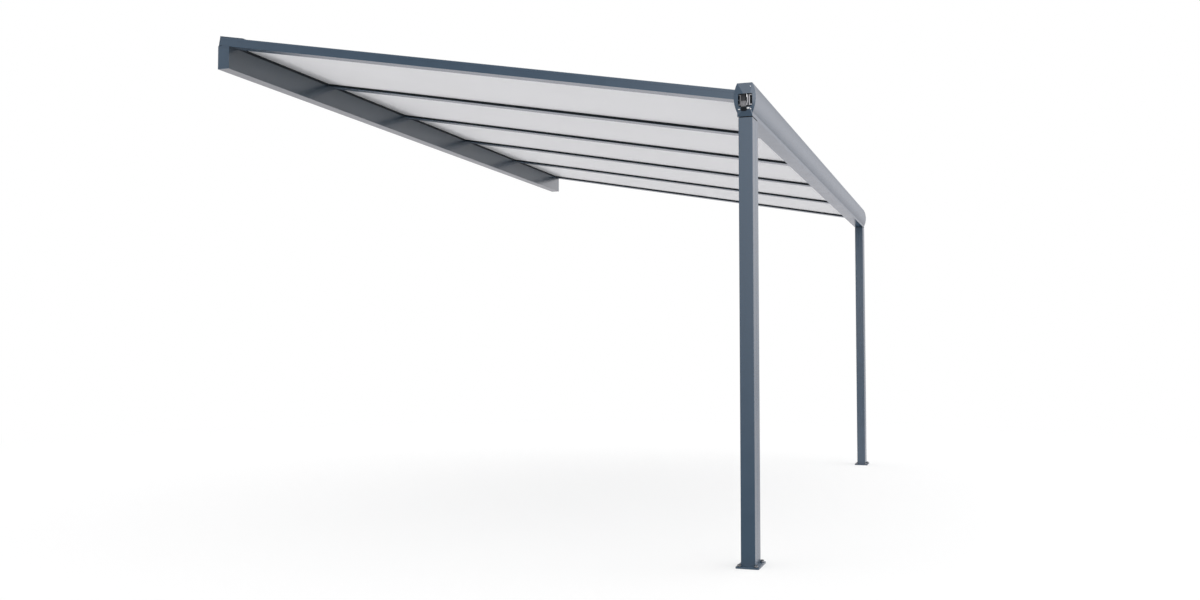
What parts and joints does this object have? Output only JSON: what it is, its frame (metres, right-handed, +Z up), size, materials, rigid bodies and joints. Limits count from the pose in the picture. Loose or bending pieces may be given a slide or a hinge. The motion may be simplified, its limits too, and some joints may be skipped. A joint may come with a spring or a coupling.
{
  "type": "lean-to carport",
  "caption": "Wall-mounted lean-to carport with a sloping opal panel roof on aluminium rafters, a wall profile, a barrel-shaped gutter beam and two front posts on base plates.",
  "frame": {"origin": "middle of the wall profile's flat back face, which lies on the wall", "axes": "+X along the wall to the far end, +Y into the wall, +Z up"},
  "size_m": [5.1086, 3.0007, 2.7321],
  "materials": {
    "powder_coat": "satin grey powder coat on aluminium",
    "opal_sheet": "opal white multiwall sheet",
    "black_rubber": "matt black rubber",
    "zinc_steel": "bright zinc plated steel"
  },
  "bodies": {
    "root": {"base_plate_far": "powder_coat", "base_plate_near": "powder_coat", "end_block_far": "black_rubber", "end_block_near": "black_rubber", "end_bracket_far": "zinc_steel", "end_bracket_near": "zinc_steel", "gutter_beam": "powder_coat", "gutter_end_cap_far": "powder_coat", "gutter_end_cap_near": "powder_coat", "panel_end_trim_1": "powder_coat", "panel_end_trim_2": "powder_coat", "panel_end_trim_3": "powder_coat", "panel_end_trim_4": "powder_coat", "panel_end_trim_5": "powder_coat", "post_far": "powder_coat", "post_head_far": "black_rubber", "post_head_near": "black_rubber", "post_near": "powder_coat", "rafter_1": "powder_coat", "rafter_2": "powder_coat", "rafter_3": "powder_coat", "rafter_4": "powder_coat", "rafter_5": "powder_coat", "rafter_6": "powder_coat", "rafter_cover_1": "powder_coat", "rafter_cover_2": "powder_coat", "rafter_cover_3": "powder_coat", "rafter_cover_4": "powder_coat", "rafter_cover_5": "powder_coat", "rafter_cover_6": "powder_coat", "roof_panel_1": "opal_sheet", "roof_panel_2": "opal_sheet", "roof_panel_3": "opal_sheet", "roof_panel_4": "opal_sheet", "roof_panel_5": "opal_sheet", "wall_flashing": "powder_coat", "wall_profile": "powder_coat", "wall_profile_cap_far": "powder_coat", "wall_profile_cap_near": "powder_coat", "wall_seal_1": "black_rubber", "wall_seal_2": "black_rubber", "wall_seal_3": "black_rubber", "wall_seal_4": "black_rubber", "wall_seal_5": "black_rubber"}
  },
  "joints": []
}
